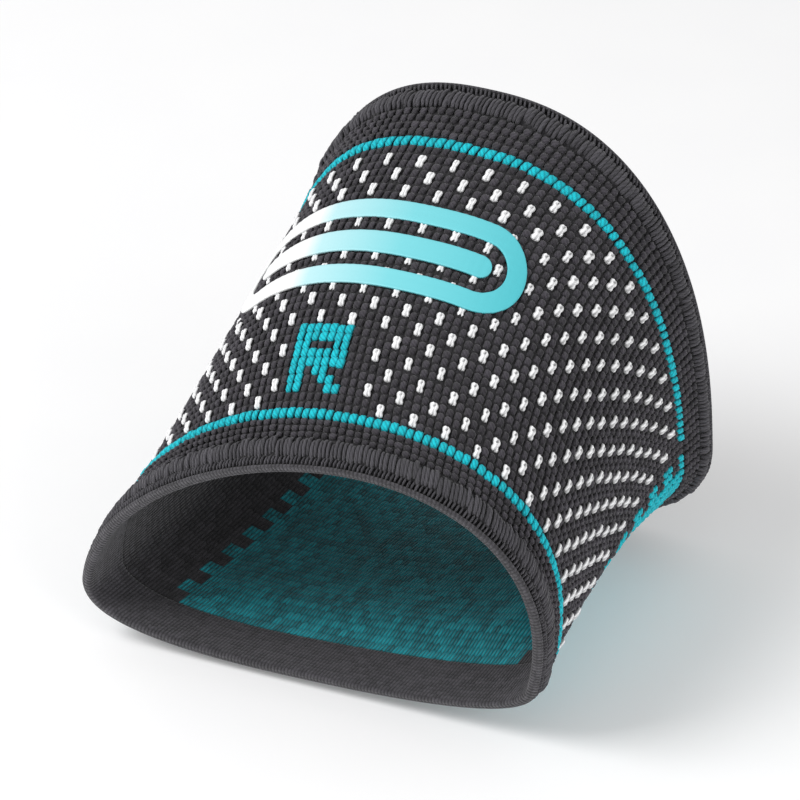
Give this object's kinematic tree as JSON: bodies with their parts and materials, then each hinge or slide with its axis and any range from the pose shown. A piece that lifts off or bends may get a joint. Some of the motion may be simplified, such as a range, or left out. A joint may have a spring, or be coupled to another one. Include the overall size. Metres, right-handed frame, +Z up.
{
  "type": "arch support sleeve",
  "caption": "Circular-knit compression sleeve for the arch of a right foot, open at toes and ankle, with ribbed hems, teal stripes, spot pattern and a cushioned teal panel under the arch.",
  "frame": {"origin": "on the plane that the foot stands on, half way along the sleeve from toe opening to ankle opening", "axes": "-Y to the toes, +Y to the heel and ankle, +X to the big-toe side, +Z up"},
  "size_m": [0.0938, 0.088, 0.0881],
  "materials": {
    "charcoal_knit": "fine charcoal nylon and elastane stitches, matt",
    "rib_knit": "doubled charcoal rib knit, matt",
    "teal_yarn": "bright teal polyester stitches, slight sheen",
    "white_yarn": "white spot stitches, slight sheen",
    "print_film": "soft heat-transfer film, white fading to teal, satin"
  },
  "bodies": {
    "root": {"knit_body": "charcoal_knit", "toe_hem": "rib_knit", "ankle_hem": "rib_knit", "toe_stripe": "teal_yarn", "ankle_stripe": "teal_yarn", "arch_pad": "teal_yarn", "side_mark": "teal_yarn", "print_ring": "print_film", "print_bar": "print_film"}
  },
  "joints": []
}
